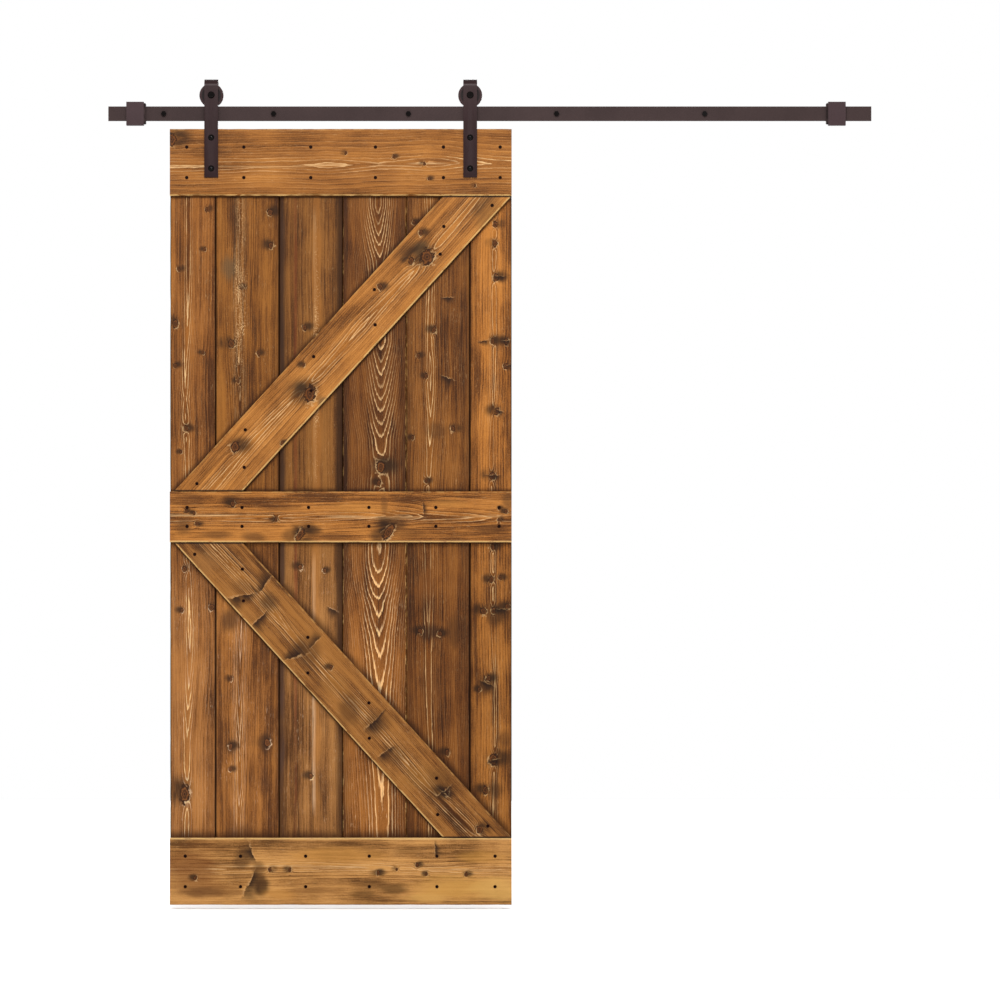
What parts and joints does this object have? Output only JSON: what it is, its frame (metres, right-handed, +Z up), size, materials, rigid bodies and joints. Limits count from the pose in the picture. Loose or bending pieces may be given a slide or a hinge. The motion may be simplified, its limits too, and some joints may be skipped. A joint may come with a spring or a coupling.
{
  "type": "sliding barn door",
  "caption": "Boarded wooden leaf with rails and diagonal braces, hung by strap hangers and grooved wheels from a flat steel wall track with end stops.",
  "frame": {"origin": "where the middle wall screw crosses the wall plane, level with the centre line of the track bar", "axes": "+X along the track towards the open end, +Y into the wall, +Z up; the wall plane is Y = 0 and the room is towards -Y"},
  "size_m": [2.1, 0.1178, 2.2709],
  "materials": {
    "board_wood": "satin",
    "frame_wood": "satin",
    "track_steel": "satin",
    "strap_steel": "satin",
    "wheel_steel": "satin",
    "black_steel": "satin",
    "bearing_steel": "satin",
    "bumper_rubber": "matte"
  },
  "bodies": {
    "track": {"track_bar": "track_steel", "wall_spacer_1": "track_steel", "wall_spacer_2": "track_steel", "wall_spacer_3": "track_steel", "wall_spacer_4": "track_steel", "wall_spacer_5": "track_steel", "wall_screw_1": "black_steel", "wall_screw_2": "black_steel", "wall_screw_3": "black_steel", "wall_screw_4": "black_steel", "wall_screw_5": "black_steel", "wall_screw_washers": "track_steel", "stop_set_screws": "black_steel", "stop_block_left": "track_steel", "stop_block_right": "track_steel", "stop_bumper_left": "bumper_rubber", "stop_bumper_right": "bumper_rubber"},
    "door": {"board_1": "board_wood", "board_2": "board_wood", "board_3": "board_wood", "board_4": "board_wood", "board_5": "board_wood", "board_6": "board_wood", "top_rail": "frame_wood", "middle_rail": "frame_wood", "bottom_rail": "frame_wood", "upper_brace": "frame_wood", "lower_brace": "frame_wood", "top_rail_screws": "black_steel", "middle_rail_screws": "black_steel", "bottom_rail_screws": "black_steel", "upper_brace_screws": "black_steel", "lower_brace_screws": "black_steel", "strap_washers": "black_steel", "strap_nuts": "black_steel", "hanger_strap_left": "strap_steel", "strap_bolts_left": "black_steel", "axle_bolt_left": "black_steel", "axle_nut_left": "black_steel", "axle_spacers_left": "wheel_steel", "bearing_inner_left": "bearing_steel", "hanger_strap_right": "strap_steel", "strap_bolts_right": "black_steel", "axle_bolt_right": "black_steel", "axle_nut_right": "black_steel", "axle_spacers_right": "wheel_steel", "bearing_inner_right": "bearing_steel"},
    "wheel_left": {"wheel_left": "wheel_steel", "bearing_outer_left": "bearing_steel", "bearing_cage_left": "bearing_steel", "bearing_balls_left": "bearing_steel"},
    "wheel_right": {"wheel_right": "wheel_steel", "bearing_outer_right": "bearing_steel", "bearing_cage_right": "bearing_steel", "bearing_balls_right": "bearing_steel"}
  },
  "joints": [
    {"name": "door_slide", "type": "slide", "parent": "track", "child": "door", "axis": [1, 0, 0], "range_m": [-0.155, 0.954]},
    {"name": "wheel_spin_left", "type": "hinge", "parent": "door", "child": "wheel_left", "pos_m": [-0.542, -0.038, 0.0503], "axis": [0, 1, 0], "continuous": true},
    {"name": "wheel_spin_right", "type": "hinge", "parent": "door", "child": "wheel_right", "pos_m": [0.17, -0.038, 0.0503], "axis": [0, 1, 0], "continuous": true}
  ],
  "couplings": [
    {"joint": "wheel_spin_left", "follows": "door_slide", "rad_per_m": 33.333},
    {"joint": "wheel_spin_right", "follows": "door_slide", "rad_per_m": 33.333}
  ]
}
